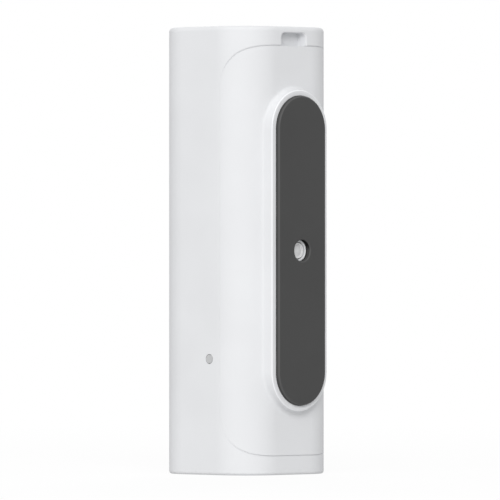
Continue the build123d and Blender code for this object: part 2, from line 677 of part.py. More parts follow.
def battery_pack():
    pack = panel(BATTERY_W, BATTERY_LOW, BATTERY_TOP, BATTERY_EDGE_R, WELL_BACK_Y - WELL_WALL, FRAME_FRONT_Y)
    middle = (BATTERY_LOW + BATTERY_TOP) / 2
    grip = Pos(0, middle) * RectangleRounded(GRIP_W, GRIP_H, GRIP_R)
    ridge = Pos(0, middle) * Rectangle(GRIP_W, GRIP_RIDGE)
    return pack - slab(grip - ridge, FRAME_FRONT_Y + GRIP_D, FRAME_FRONT_Y)


def main_board():
    board = panel(BOARD_W, BOARD_LOW, BOARD_TOP, BOARD_CORNER_R, BOARD_BACK_Y, BOARD_FRONT_Y)
    return board - [
        rod_y(SCREW_R + SCREW_HOLE_CLEAR, BOARD_BACK_Y, BOARD_FRONT_Y, x, z) for x, z in STANDOFFS
    ]


def board_screws():
    return Compound(children=[small_screw(x, z, BOARD_BACK_Y, True) for x, z in STANDOFFS])


def processor_shield():
    low = BOARD_LOW + AUDIO_PLUG_H + SHIELD_GAP
    return panel(SHIELD_SIZE, low, low + SHIELD_SIZE, SHIELD_R, BOARD_BACK_Y + SHIELD_T, BOARD_BACK_Y)


def radio_module():
    top = BOARD_TOP - CONTACT_H - RADIO_GAP
    return block(RADIO_W, BOARD_BACK_Y + RADIO_T, BOARD_BACK_Y, top - RADIO_H, top)


def contact_block():
    return block(CONTACT_W, BOARD_BACK_Y + CONTACT_T, BOARD_BACK_Y, BOARD_TOP - CONTACT_H, BOARD_TOP)


def contact_pins():
    y = BOARD_BACK_Y + CONTACT_T / 2
    pins = [rod_z(CONTACT_PIN_R, BOARD_TOP, BATTERY_LOW, x, y) for x in (-CONTACT_PIN_X, CONTACT_PIN_X)]
    return Compound(children=pins)


def audio_plug():
    return block(AUDIO_PLUG_W, BOARD_BACK_Y + AUDIO_PLUG_T, BOARD_BACK_Y, BOARD_LOW, BOARD_LOW + AUDIO_PLUG_H)


def bell_switch():
    half = SWITCH_SIZE / 2
    switch = block(SWITCH_SIZE, BOARD_FRONT_Y, SWITCH_FRONT_Y, BELL_SWITCH_Z - half, BELL_SWITCH_Z + half)
    bore = BELL_PLUNGER_R + PLUNGER_CLEAR
    return switch - rod_y(bore, SWITCH_FRONT_Y + SWITCH_BORE_D, SWITCH_FRONT_Y, 0, BELL_SWITCH_Z)


def bell_plunger():
    back = SWITCH_FRONT_Y + SWITCH_BORE_D - PUSH_TRAVEL - PLUNGER_CLEAR
    return rod_y(BELL_PLUNGER_R, back, PLUNGER_TIP_Y, 0, BELL_SWITCH_Z)


def plunger_grommet():
    ring = Circle(GROMMET_R - SCREW_CLEAR) - Circle(BELL_PLUNGER_R + PLUNGER_CLEAR)
    return slab(Pos(0, BELL_SWITCH_Z) * ring, FRAME_BACK_Y, FRAME_FRONT_Y)


def reset_switch():
    half = RESET_SWITCH_H / 2
    x = RESET_SWITCH_X + RESET_SWITCH_W / 2
    switch = block(RESET_SWITCH_W, BOARD_FRONT_Y, SWITCH_FRONT_Y, RESET_Z - half, RESET_Z + half, x)
    bore = RESET_PLUNGER_R + PLUNGER_CLEAR
    return switch - rod_x(bore, RESET_SWITCH_X, RESET_SWITCH_X + SWITCH_BORE_D, RESET_Y, RESET_Z)


def reset_plunger():
    end = RESET_SWITCH_X + SWITCH_BORE_D - RESET_TRAVEL - PLUNGER_CLEAR
    return rod_x(RESET_PLUNGER_R, RESET_SWITCH_X - RESET_PLUNGER_RISE, end, RESET_Y, RESET_Z)


def reset_button():
    flange_x = INNER_SIDE_X + RESET_SEAL_T + RESET_SEAL_CLEAR
    stem_x = flange_x + RESET_FLANGE_T
    tip = RESET_SWITCH_X - RESET_PLUNGER_RISE
    button = rod_x(RESET_R, SIDE_X, flange_x, RESET_Y, RESET_Z)
    button += rod_x(RESET_FLANGE_R, flange_x, stem_x, RESET_Y, RESET_Z)
    button += rod_x(RESET_STEM_R, stem_x, tip, RESET_Y, RESET_Z)
    return button


def reset_seal():
    ring = Circle(RESET_FLANGE_R) - Circle(RESET_R + RESET_CLEAR)
    plane = Plane.YZ.offset(INNER_SIDE_X)
    return extrude(plane * Pos(RESET_Y, RESET_Z) * ring, amount=RESET_SEAL_T)


def camera_holder():
    holder = slab(Rectangle(CAMERA_SIZE, CAMERA_SIZE), CAMERA_BOARD_Y, CAMERA_FRONT_Y)
    return holder - rod_y(BARREL_THREAD_R + SCREW_CLEAR, CAMERA_BOARD_Y, CAMERA_FRONT_Y)


def lens_barrel():
    back = CAMERA_FRONT_Y + BARREL_THREAD_LENGTH
    nose_y = POCKET_Y + LENS_NOSE_LENGTH
    cone_y = nose_y + LENS_CONE_LENGTH
    seat_y = NOSE_TIP_Y + LENS_GLASS_SINK + LENS_GLASS_T
    bore = LENS_GLASS_R + LENS_GLASS_CLEAR
    return turned_y([
        (0, back),
        (BARREL_THREAD_R, back),
        (BARREL_THREAD_R, CAMERA_FRONT_Y),
        (BARREL_R, CAMERA_FRONT_Y),
        (BARREL_R, cone_y),
        (LENS_NOSE_R, nose_y),
        (LENS_NOSE_R, NOSE_TIP_Y),
        (bore, NOSE_TIP_Y),
        (bore, seat_y),
        (0, seat_y),
    ])


def lens_glass():
    """A small front element with a low crown, set below the lip of the barrel."""
    edge_y = NOSE_TIP_Y + LENS_GLASS_SINK
    tip_y = edge_y - LENS_GLASS_CROWN
    back_y = edge_y + LENS_GLASS_T
    crown_r = (LENS_GLASS_R**2 + LENS_GLASS_CROWN**2) / (2 * LENS_GLASS_CROWN)
    half = LENS_GLASS_R / 2
    between = (half, tip_y + crown_r - sqrt(crown_r**2 - half**2))
    crown = ThreePointArc((LENS_GLASS_R, edge_y), between, (0, tip_y))
    rest = Polyline((0, tip_y), (0, back_y), (LENS_GLASS_R, back_y), (LENS_GLASS_R, edge_y))
    return revolve(make_face([*crown.edges(), *rest.edges()]), Axis.Y)


def camera_board():
    return slab(Rectangle(CAMERA_SIZE, CAMERA_SIZE), FRAME_BACK_Y, CAMERA_BOARD_Y)


def camera_retainer():
    back = FRAME_BACK_Y + RETAINER_T
    plate = panel(RETAINER_W, RETAINER_LOW, RETAINER_TOP, RETAINER_CORNER_R, back, FRAME_BACK_Y)
    gap = 2 * CONNECTOR_CLEAR
    plate -= slab(Rectangle(CONNECTOR_W + gap, CONNECTOR_H + gap), back, FRAME_BACK_Y)
    hole = SCREW_R + SCREW_HOLE_CLEAR
    return plate - [rod_y(hole, back, FRAME_BACK_Y, x, z) for x, z in RETAINER_SCREWS]


def camera_screws():
    seat = FRAME_BACK_Y + RETAINER_T
    return Compound(children=[small_screw(x, z, seat, True) for x, z in RETAINER_SCREWS])


def camera_connector():
    return slab(Rectangle(CONNECTOR_W, CONNECTOR_H), BOARD_FRONT_Y, FRAME_BACK_Y)


def speaker():
    rim_top = SPEAKER_Z + SPEAKER_RIM_T
    basket_top = rim_top + SPEAKER_BASKET_H
    cone_z = SPEAKER_Z + SPEAKER_CONE_D
    return turned_z(
        [
            (0, SPEAKER_Z + SPEAKER_RIM_T),
            (SPEAKER_DOME_R, cone_z),
            (SPEAKER_CONE_R, SPEAKER_Z),
            (SPEAKER_R, SPEAKER_Z),
            (SPEAKER_R, rim_top),
            (SPEAKER_MAGNET_R, basket_top),
            (SPEAKER_MAGNET_R, SPEAKER_MAGNET_Z),
            (0, SPEAKER_MAGNET_Z),
        ],
        0,
        SPEAKER_Y,
    )


def speaker_gasket():
    ring = Circle(SPEAKER_R) - Circle(SPEAKER_R - SPEAKER_SEAL_W)
    return Pos(0, SPEAKER_Y, FLOOR_Z) * extrude(ring, amount=SPEAKER_SEAL_T)


def speaker_mesh():
    return rod_z(SPEAKER_R - SPEAKER_SEAL_W - SEAM_GAP, FLOOR_Z, FLOOR_Z + MESH_T, 0, SPEAKER_Y)


def mic_seal():
    ring = Circle(MIC_SEAL_R) - Circle(MIC_PORT_R)
    return Pos(MIC_X, SPEAKER_Y, FLOOR_Z) * extrude(ring, amount=MIC_SEAL_T)


def microphone():
    return block(MIC_W, SPEAKER_Y + MIC_D / 2, SPEAKER_Y - MIC_D / 2, MIC_TOP - MIC_T, MIC_TOP, MIC_X)


def lead(points, radius):
    """A wire along straight runs joined by round bends, eight-sided because it is hidden and small."""
    path = FilletPolyline(*points, radius=radius)
    profile = Plane(origin=path @ 0, z_dir=path % 0) * RegularPolygon(LEAD_R, LEAD_SIDES)
    return sweep(profile, path=path)


def audio_leads():
    """One wire from the audio plug to the speaker's magnet and one to the microphone."""
    plug_x = AUDIO_PLUG_W / 4
    plug_y = BOARD_BACK_Y + AUDIO_PLUG_T / 2
    drop = (BOARD_LOW - SPEAKER_MAGNET_Z) / 3
    to_speaker = [
        (-plug_x, plug_y, BOARD_LOW),
        (-plug_x, plug_y, BOARD_LOW - drop),
        (-SPEAKER_LEAD_X, SPEAKER_Y, SPEAKER_MAGNET_Z + drop),
        (-SPEAKER_LEAD_X, SPEAKER_Y, SPEAKER_MAGNET_Z),
    ]
    to_mic = [
        (plug_x, plug_y, BOARD_LOW),
        (plug_x, plug_y, BOARD_LOW - drop),
        (MIC_X, SPEAKER_Y, SPEAKER_MAGNET_Z),
        (MIC_X, SPEAKER_Y, MIC_TOP),
    ]
    return Compound(children=[lead(to_speaker, SPEAKER_LEAD_BEND), lead(to_mic, MIC_LEAD_BEND)])


def wall_bracket():
    plate = panel(BRACKET_W, BRACKET_FOOT_Z, BRACKET_TOP, BRACKET_R, 0, -BRACKET_T)
    plate += block(FOOT_W, -BRACKET_T / 2, -FOOT_REACH, BRACKET_FOOT_Z, FOOT_TOP)
    plate -= rod_z(LOCK_R + SCREW_CLEAR, BRACKET_FOOT_Z, FOOT_TOP, 0, LOCK_Y)
    lip_front = CAVITY_BACK_Y - BRACKET_CLEAR - HANG_LIP_T
    for z in (HANG_Z_HIGH, HANG_Z_LOW):
        neck_top = z + HANG_NECK_H
        plate += block(HANG_W, -BRACKET_T / 2, lip_front, z, neck_top)
        plate += block(HANG_W, CAVITY_BACK_Y - BRACKET_CLEAR, lip_front, z, neck_top + HANG_LIP_H)
    sunk = -BRACKET_T + WALL_SCREW_SINK
    head = [(0, -BRACKET_T), (WALL_SCREW_HEAD_R, -BRACKET_T), (WALL_SCREW_R, sunk), (0, sunk)]
    for z in (-WALL_SCREW_SPACING / 2, WALL_SCREW_SPACING / 2):
        plate -= rod_y(WALL_SCREW_R, 0, -BRACKET_T, 0, z)
        plate -= turned_y(head, 0, z)
    return plate


def lock_screw():
    head_low = BODY_BOTTOM + LOCK_HEAD_SINK
    head_top = head_low + LOCK_HEAD_T
    screw = rod_z(LOCK_HEAD_R, head_low, head_top, 0, LOCK_Y)
    screw += rod_z(LOCK_R, head_top, FOOT_TOP, 0, LOCK_Y)
    drive = extrude(Pos(0, LOCK_Y, head_low) * RegularPolygon(LOCK_R, HEX_SIDES), amount=LOCK_HEAD_T / 2)
    return screw - drive


PIECES = {
    "rear_housing": rear_housing,
    "front_cover": front_cover,
    "push_plate": push_plate,
    "plate_seal": plate_seal,
    "stem_clips": stem_clips,
    "frame_gasket": frame_gasket,
    "inner_frame": inner_frame,
    "frame_screws": frame_screws,
    "battery_pack": battery_pack,
    "main_board": main_board,
    "board_screws": board_screws,
    "processor_shield": processor_shield,
    "radio_module": radio_module,
    "contact_block": contact_block,
    "contact_pins": contact_pins,
    "audio_plug": audio_plug,
    "bell_switch": bell_switch,
    "bell_plunger": bell_plunger,
    "plunger_grommet": plunger_grommet,
    "reset_switch": reset_switch,
    "reset_plunger": reset_plunger,
    "reset_button": reset_button,
    "reset_seal": reset_seal,
    "camera_holder": camera_holder,
    "lens_barrel": lens_barrel,
    "lens_glass": lens_glass,
    "camera_board": camera_board,
    "camera_retainer": camera_retainer,
    "camera_screws": camera_screws,
    "camera_connector": camera_connector,
    "speaker": speaker,
    "speaker_gasket": speaker_gasket,
    "speaker_mesh": speaker_mesh,
    "mic_seal": mic_seal,
    "microphone": microphone,
    "audio_leads": audio_leads,
    "wall_bracket": wall_bracket,
    "lock_screw": lock_screw,
}

os.makedirs("parts", exist_ok=True)
for name, make in PIECES.items():
    export_step(make(), f"parts/{name}.step")
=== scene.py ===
"""Finishes, fine pieces, stage, light and camera for the video doorbell."""

import json
from math import acos, cos, pi, radians, sin, sqrt

import bmesh
import bpy
from mathutils import Matrix, Vector


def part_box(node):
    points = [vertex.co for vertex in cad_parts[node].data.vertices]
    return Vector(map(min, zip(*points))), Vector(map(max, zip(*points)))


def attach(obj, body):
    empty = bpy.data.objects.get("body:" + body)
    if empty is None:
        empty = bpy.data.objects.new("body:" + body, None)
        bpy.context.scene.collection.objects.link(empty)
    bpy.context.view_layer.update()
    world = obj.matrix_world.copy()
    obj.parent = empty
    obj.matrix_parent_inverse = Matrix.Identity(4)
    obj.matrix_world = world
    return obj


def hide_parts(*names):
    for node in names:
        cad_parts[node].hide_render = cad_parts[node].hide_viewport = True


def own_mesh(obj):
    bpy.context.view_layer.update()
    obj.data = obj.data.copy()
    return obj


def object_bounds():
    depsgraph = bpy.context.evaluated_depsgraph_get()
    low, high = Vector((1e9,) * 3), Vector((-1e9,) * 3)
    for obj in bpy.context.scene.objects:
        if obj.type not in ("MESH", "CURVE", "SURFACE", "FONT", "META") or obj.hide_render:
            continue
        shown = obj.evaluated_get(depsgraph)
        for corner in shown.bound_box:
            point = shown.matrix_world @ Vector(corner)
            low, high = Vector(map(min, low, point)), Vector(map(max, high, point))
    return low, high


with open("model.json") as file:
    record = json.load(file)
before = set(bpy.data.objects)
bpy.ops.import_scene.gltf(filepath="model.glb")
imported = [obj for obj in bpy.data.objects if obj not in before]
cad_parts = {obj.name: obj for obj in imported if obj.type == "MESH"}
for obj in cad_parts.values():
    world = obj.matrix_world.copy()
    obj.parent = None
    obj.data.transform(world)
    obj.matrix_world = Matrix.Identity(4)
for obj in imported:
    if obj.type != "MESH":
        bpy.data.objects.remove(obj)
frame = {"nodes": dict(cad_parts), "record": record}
cad_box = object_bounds()
MM = 0.001


# Materials


class Finish:
    """A Principled material whose colour, roughness and bump come from nodes."""

    def __init__(self, name):
        self.material = bpy.data.materials.new(name)
        self.material.use_nodes = True
        self.tree = self.material.node_tree
        self.shader = self.tree.nodes["Principled BSDF"]
        self.place = self.node("ShaderNodeTexCoord").outputs["Object"]

    def node(self, kind, **settings):
        made = self.tree.nodes.new(kind)
        for key, value in settings.items():
            setattr(made, key, value)
        return made

    def join(self, start, end):
        self.tree.links.new(start, end)

    def noise(self, grain, detail=3.0, stretch=(1.0, 1.0, 1.0)):
        """Noise with features about grain metres across."""
        mapping = self.node("ShaderNodeMapping")
        mapping.inputs["Scale"].default_value = stretch
        self.join(self.place, mapping.inputs["Vector"])
        noise = self.node("ShaderNodeTexNoise")
        noise.inputs["Scale"].default_value = 1.0 / grain
        noise.inputs["Detail"].default_value = detail
        self.join(mapping.outputs["Vector"], noise.inputs["Vector"])
        return noise.outputs["Fac"]

    def ramp(self, source, low, high, start=0.3, end=0.7):
        """A source from start to end, turned into a value or a colour between low and high."""
        ramp = self.node("ShaderNodeValToRGB")
        ramp.color_ramp.elements[0].position = start
        ramp.color_ramp.elements[1].position = end
        ramp.color_ramp.elements[0].color = as_colour(low)
        ramp.color_ramp.elements[1].color = as_colour(high)
        self.join(source, ramp.inputs["Fac"])
        return ramp.outputs["Color"]

    def share(self, source, low, high):
        """How far a source is on its way from low to high, from 0 to 1."""
        way = self.node("ShaderNodeMapRange")
        way.inputs["From Min"].default_value = low
        way.inputs["From Max"].default_value = high
        self.join(source, way.inputs["Value"])
        return way.outputs["Result"]

    def along(self, axis, vector):
        """One axis of a vector."""
        parts = self.node("ShaderNodeSeparateXYZ")
        self.join(vector, parts.inputs[0])
        return parts.outputs[axis]

    def colour(self, source, low, high):
        self.join(self.ramp(source, low, high), self.shader.inputs["Base Color"])

    def roughness(self, source, low, high):
        self.join(self.ramp(source, low, high), self.shader.inputs["Roughness"])

    def bump(self, source, height):
        """Relief of that height, on top of any relief that is there already."""
        bump = self.node("ShaderNodeBump")
        bump.inputs["Strength"].default_value = 1.0
        bump.inputs["Distance"].default_value = height
        self.join(source, bump.inputs["Height"])
        if self.shader.inputs["Normal"].is_linked:
            self.join(self.shader.inputs["Normal"].links[0].from_socket, bump.inputs["Normal"])
        self.join(bump.outputs["Normal"], self.shader.inputs["Normal"])

    def multiply(self, factor):
        """The base colour, multiplied by a grey factor."""
        colour = self.shader.inputs["Base Color"]
        product = self.node("ShaderNodeMix", data_type="RGBA", blend_type="MULTIPLY")
        product.inputs["Factor"].default_value = 1.0
        self.join(colour.links[0].from_socket, product.inputs["A"])
        self.join(factor, product.inputs["B"])
        self.join(product.outputs["Result"], colour)

    def lift(self, source, stops, factor):
        """The base colour, lifted where the source is between the inner two of four stops."""
        ramp = self.node("ShaderNodeValToRGB")
        shades = ramp.color_ramp
        shades.elements[0].position = stops[0]
        shades.elements[1].position = stops[3]
        shades.elements[0].color = as_colour(1.0)
        shades.elements[1].color = as_colour(1.0)
        for stop in stops[1:3]:
            shades.elements.new(stop).color = as_colour(factor)
        self.join(source, ramp.inputs["Fac"])
        self.multiply(ramp.outputs["Color"])

    def set(self, **sockets):
        for name, value in sockets.items():
            self.shader.inputs[name.replace("_", " ")].default_value = value


def as_colour(value):
    if isinstance(value, (int, float)):
        value = (value, value, value)
    return (*value, 1.0)


def tint(colour, factor):
    return tuple(part * factor for part in colour)


# Drift of the colour and tool texture of moulded plastic, and marks on metal
DRIFT_SIZE = 18 * MM
SPARK_ROUGHNESS = 0.05
MARK_SIZE = 0.05 * MM
MARK_STRETCH = (0.04, 1.0, 1.0)
MARK_TINT = (0.93, 1.05)
MARK_ROUGHNESS = (0.06, 0.08)
MARK_DEPTH = 0.002 * MM
RING_PITCH = 0.09 * MM
SCREW_HEAD_R = 1.9 * MM

# Cells of the foam, threads of the mesh and tracks of the boards; a wave texture at scale 1 has that period
CELL_SIZE = 0.3 * MM
CELL_DEPTH = 0.08 * MM
MESH_PITCH = 0.4 * MM
MESH_DEPTH = 0.05 * MM
MESH_SHADES = (0.004, 0.06)
MESH_ROUGHNESS = (0.9, 0.5)
WAVE_PERIOD = 0.314
TRACK_LENGTH = 5.0 * MM
TRACK_PITCH = 0.9 * MM
TRACK_GAP = 0.12 * MM
TRACK_RISE = 0.03 * MM

# Painted highlight on the bevels of the plate, painted shade on the upper wall of its camera opening, and
# painted highlight along the edge of the rim round it
BEVEL_STOPS = (0.35, 0.6, 0.8, 0.95)
BEVEL_HIGHLIGHT = 1.35
BORE_SHADE_DARK = 0.05
BORE_EDGE = (3.41 * MM, 3.45 * MM)
BORE_FADE = (0.0, 1.7 * MM)
RIM_EDGE = (-44.6 * MM, -44.2 * MM)
RIM_STOPS = (0.1, 0.25, 0.75, 0.9)
RIM_HIGHLIGHT = 1.16

# Colours
SHELL = (0.798, 0.806, 0.822)
PLATE_DARK = (0.071, 0.071, 0.071)
FOAM_BLACK = (0.02, 0.02, 0.02)
MASK_GREEN = (0.015, 0.11, 0.05)
TRACK_GREEN = (0.03, 0.19, 0.08)
ZINC = (0.6, 0.6, 0.6)


def moulded(name, colour, roughness, grain=0.25 * MM, relief=0.004 * MM, spread=0.015, gloss=0.5):
    """Moulded plastic: even colour with a faint drift, and the fine spark texture of the tool."""
    finish = Finish(name)
    finish.set(Specular_IOR_Level=gloss)
    drift = finish.noise(DRIFT_SIZE, detail=2.0)
    finish.colour(drift, tint(colour, 1 - spread), tint(colour, 1 + spread))
    spark = finish.noise(grain, detail=2.0)
    finish.roughness(spark, roughness - SPARK_ROUGHNESS, roughness + SPARK_ROUGHNESS)
    finish.bump(spark, relief)
    return finish


def metal_marks(finish, marks, colour, roughness):
    """Bare metal whose colour, gloss and relief follow its marks."""
    finish.set(Metallic=1.0)
    finish.colour(marks, tint(colour, MARK_TINT[0]), tint(colour, MARK_TINT[1]))
    finish.roughness(marks, roughness - MARK_ROUGHNESS[0], roughness + MARK_ROUGHNESS[1])
    finish.bump(marks, MARK_DEPTH)
    return finish.material


def rolled(name, colour, roughness):
    """Sheet metal with the fine straight marks of the rolls."""
    finish = Finish(name)
    marks = finish.noise(MARK_SIZE, detail=3.0, stretch=MARK_STRETCH)
    return metal_marks(finish, marks, colour, roughness)


def turned(node_name, axis):
    """Zinc with the rings of the lathe round each of a node's screws, which lie evenly about its middle."""
    finish = Finish("turned_" + node_name)
    low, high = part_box(node_name)
    across = Vector(0.0 if way == axis else 1.0 for way in "XYZ")
    spacing = ((high - low) / 2 - Vector((SCREW_HEAD_R,) * 3)) * across
    spot = finish.place
    for operation, value in (
        ("SUBTRACT", (low + high) / 2),
        ("ABSOLUTE", None),
        ("SUBTRACT", spacing),
        ("MULTIPLY", across / RING_PITCH),
        ("LENGTH", None),
    ):
        step = finish.node("ShaderNodeVectorMath", operation=operation)
        finish.join(spot, step.inputs[0])
        if value is not None:
            step.inputs[1].default_value = value
        spot = step.outputs["Value" if operation == "LENGTH" else "Vector"]
    rings = finish.node("ShaderNodeTexNoise", noise_dimensions="1D")
    rings.inputs["Scale"].default_value = 1.0
    finish.join(spot, rings.inputs["W"])
    return metal_marks(finish, rings.outputs["Fac"], ZINC, roughness=0.3)


def foam_finish():
    """Black closed-cell foam: small round cells with thin walls."""
    finish = moulded("black_foam", FOAM_BLACK, roughness=0.9, relief=0.01 * MM, spread=0.2)
    cells = finish.node("ShaderNodeTexVoronoi")
    cells.inputs["Scale"].default_value = 1.0 / CELL_SIZE
    finish.join(finish.place, cells.inputs["Vector"])
    finish.bump(cells.outputs["Distance"], CELL_DEPTH)
    return finish.material


def mesh_finish():
    """Woven acoustic mesh: dark threads both ways with fine gaps between them."""
    finish = Finish("woven_mesh")
    heights = []
    for way in "XY":
        threads = finish.node("ShaderNodeTexWave", bands_direction=way)
        threads.inputs["Scale"].default_value = WAVE_PERIOD / MESH_PITCH
        finish.join(finish.place, threads.inputs["Vector"])
        heights.append(threads.outputs["Fac"])
    weave = finish.node("ShaderNodeMath", operation="MAXIMUM")
    finish.join(heights[0], weave.inputs[0])
    finish.join(heights[1], weave.inputs[1])
    finish.colour(weave.outputs[0], *MESH_SHADES)
    finish.roughness(weave.outputs[0], *MESH_ROUGHNESS)
    finish.bump(weave.outputs[0], MESH_DEPTH)
    return finish.material


def board_finish():
    """Circuit board: green solder mask over slightly raised tracks."""
    finish = moulded("solder_mask", MASK_GREEN, roughness=0.3, spread=0.1)
    flat = finish.node("ShaderNodeMapping")
    flat.inputs["Rotation"].default_value = (radians(90), 0, radians(90))
    finish.join(finish.place, flat.inputs["Vector"])
    tracks = finish.node("ShaderNodeTexBrick")
    tracks.inputs["Scale"].default_value = 1.0
    tracks.inputs["Brick Width"].default_value = TRACK_LENGTH
    tracks.inputs["Row Height"].default_value = TRACK_PITCH
    tracks.inputs["Mortar Size"].default_value = TRACK_GAP
    finish.join(flat.outputs["Vector"], tracks.inputs["Vector"])
    finish.colour(tracks.outputs["Fac"], MASK_GREEN, TRACK_GREEN)
    finish.bump(tracks.outputs["Fac"], TRACK_RISE)
    return finish.material


def painted_bore_shade(finish):
    """Share of the painted shade on the wall of the camera opening, which grows towards its upper edge."""
    flat = finish.node("ShaderNodeVectorMath", operation="MULTIPLY")
    flat.inputs[1].default_value = (1.0, 0.0, 1.0)
    finish.join(finish.place, flat.inputs[0])
    radius = finish.node("ShaderNodeVectorMath", operation="LENGTH")
    finish.join(flat.outputs["Vector"], radius.inputs[0])
    share = finish.node("ShaderNodeMath", operation="MULTIPLY")
    finish.join(finish.share(radius.outputs["Value"], BORE_EDGE[1], BORE_EDGE[0]), share.inputs[0])
    finish.join(finish.share(finish.along("Z", finish.place), *BORE_FADE), share.inputs[1])
    return share.outputs[0]


def plate_finish():
    """Fine matte dark plastic, with a painted highlight on its bevels and painted shade on the upper wall of
    the camera opening.
    """
    finish = moulded("dark_plate", PLATE_DARK, roughness=0.55, spread=0.03, gloss=0.12)
    forward = finish.node("ShaderNodeMath", operation="ABSOLUTE")
    normal = finish.node("ShaderNodeTexCoord").outputs["Normal"]
    finish.join(finish.along("Y", normal), forward.inputs[0])
    # painted highlight: the base colour is lifted on the plate's bevels, whose normals lie half way between
    # front and side
    finish.lift(forward.outputs[0], BEVEL_STOPS, BEVEL_HIGHLIGHT)
    # painted shade: the base colour darkens up the wall of the camera opening towards its top
    finish.multiply(finish.ramp(painted_bore_shade(finish), 1.0, BORE_SHADE_DARK, start=0.0, end=1.0))
    return finish.material


def shell_finish():
    """Satin white plastic, with a painted highlight along the narrow edge of the rim round the plate."""
    finish = moulded("satin_shell", SHELL, roughness=0.7, gloss=0.15)
    depth = finish.share(finish.along("Y", finish.place), *RIM_EDGE)
    # painted highlight: the base colour is lifted on a thin band in depth at the outer edge of the rim
    finish.lift(depth, RIM_STOPS, RIM_HIGHLIGHT)
    return finish.material


FINISHES = {
    "shell": shell_finish(),
    "plate": plate_finish(),
    "button": moulded("button_grey", (0.53, 0.535, 0.54), roughness=0.4).material,
    "clip": rolled("spring_steel", (0.6, 0.6, 0.6), roughness=0.3),
    "frame": moulded(
        "frame_grey", (0.18, 0.18, 0.185), roughness=0.55, grain=0.4 * MM, relief=0.05 * MM
    ).material,
    "foam": foam_finish(),
    "seal": moulded("dark_rubber", (0.03, 0.03, 0.032), roughness=0.65, spread=0.1).material,
    "battery": moulded(
        "battery_case", (0.05, 0.05, 0.055), roughness=0.5, relief=0.03 * MM, spread=0.05
    ).material,
    "board": board_finish(),
    "module": rolled("tinned_can", (0.62, 0.62, 0.61), roughness=0.35),
    "shield": rolled("tinned_shield", (0.66, 0.66, 0.65), roughness=0.3),
    "connector": moulded("ivory_plug", (0.72, 0.70, 0.62), roughness=0.45).material,
    "contact": rolled("gold_contact", (0.83, 0.62, 0.27), roughness=0.2),
    "switch": moulded("switch_black", (0.03, 0.03, 0.03), roughness=0.45, spread=0.05).material,
    "plunger": moulded("plunger_grey", (0.5, 0.5, 0.5), roughness=0.4).material,
    "lens_body": moulded("lens_nose", (0.84, 0.845, 0.85), roughness=0.4, gloss=0.3).material,
    "lens_mount": moulded("lens_mount_black", (0.02, 0.02, 0.02), roughness=0.5, spread=0.05).material,
    "lens": moulded("lens_front", (0.80, 0.805, 0.81), roughness=0.2).material,
    "speaker": moulded("speaker_black", (0.03, 0.03, 0.03), roughness=0.6, spread=0.1).material,
    "microphone": rolled("microphone_can", (0.7, 0.68, 0.6), roughness=0.3),
    "wire": moulded("wire_red", (0.35, 0.02, 0.02), roughness=0.4, spread=0.05).material,
    "bracket": moulded(
        "bracket_white", tint(SHELL, 0.92), roughness=0.5, grain=0.4 * MM, relief=0.04 * MM
    ).material,
    "screw": rolled("zinc_screw", ZINC, roughness=0.3),
}
OWN_FINISHES = {
    "frame_screws": turned("frame_screws", "Y"),
    "board_screws": turned("board_screws", "Y"),
    "camera_screws": turned("camera_screws", "Y"),
    "lock_screw": turned("lock_screw", "Z"),
    "speaker_mesh": mesh_finish(),
}

for subpart in frame["record"]["subparts"]:
    node_name = subpart["node"]
    node = frame["nodes"][node_name]
    node.data.materials.clear()
    node.data.materials.append(OWN_FINISHES.get(node_name, FINISHES[subpart["material_slot"]]))


# Pieces

CREASE = radians(30)
LATHE_STEPS = 72


def add_mesh(name, points, faces, body, slot):
    """A new smooth mesh piece with crisp edges, which rides on a body and takes the finish of a slot."""
    mesh = bpy.data.meshes.new(name)
    mesh.from_pydata(points, [], faces)
    outward = bmesh.new()
    outward.from_mesh(mesh)
    bmesh.ops.recalc_face_normals(outward, faces=outward.faces)
    outward.to_mesh(mesh)
    outward.free()
    mesh.shade_smooth()
    mesh.set_sharp_from_angle(angle=CREASE)
    mesh.materials.append(FINISHES[slot])
    piece = bpy.data.objects.new(name, mesh)
    bpy.context.scene.collection.objects.link(piece)
    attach(piece, body)
    return piece


def band(here, beside, size):
    """Faces between two closed rings of points, which start at here and beside."""
    faces = []
    for corner in range(size):
        after = (corner + 1) % size
        faces.append((here + corner, here + after, beside + after, beside + corner))
    return faces


def lathe(name, profile, body, slot):
    """A ring round the camera's axis from a closed profile of radius and distance from the wall."""
    points = []
    faces = []
    size = len(profile)
    for step in range(LATHE_STEPS):
        turn = 2 * pi * step / LATHE_STEPS
        points += [(radius * cos(turn), y, radius * sin(turn)) for radius, y in profile]
        faces += band(step * size, (step + 1) % LATHE_STEPS * size, size)
    return add_mesh(name, points, faces, body, slot)


# The foam under the plate: a strip along its edge and a ring round the camera
FOAM_W = 1.6 * MM
FOAM_SLACK = 0.01 * MM
FOAM_BULGE = 0.08 * MM
FOAM_RING_R = 4.2 * MM
FOAM_TURNS = 24
FOAM_SIDE_STEPS = 4


def foam_section(back, front):
    """Across a strip: offset from its middle line and place along Y, with sides that bulge a little."""
    half = FOAM_W / 2 - FOAM_BULGE
    section = []
    for side in (1, -1):
        for step in range(FOAM_SIDE_STEPS + 1)[::side]:
            share = step / FOAM_SIDE_STEPS
            bulge = FOAM_BULGE * sqrt(4 * share * (1 - share))
            section.append((side * (half + bulge), back + (front - back) * share))
    return section


def foam_loop(radius, straight):
    """Outward direction and middle line of a stadium or a ring, from the right round over the top."""
    loop = []
    steps = FOAM_TURNS + 1 if straight else FOAM_TURNS
    for end in (1, -1):
        for step in range(steps):
            turn = pi * step / FOAM_TURNS + (0 if end > 0 else pi)
            out_x = cos(turn)
            out_z = sin(turn)
            loop.append((out_x, out_z, radius * out_x, end * straight + radius * out_z))
    return loop


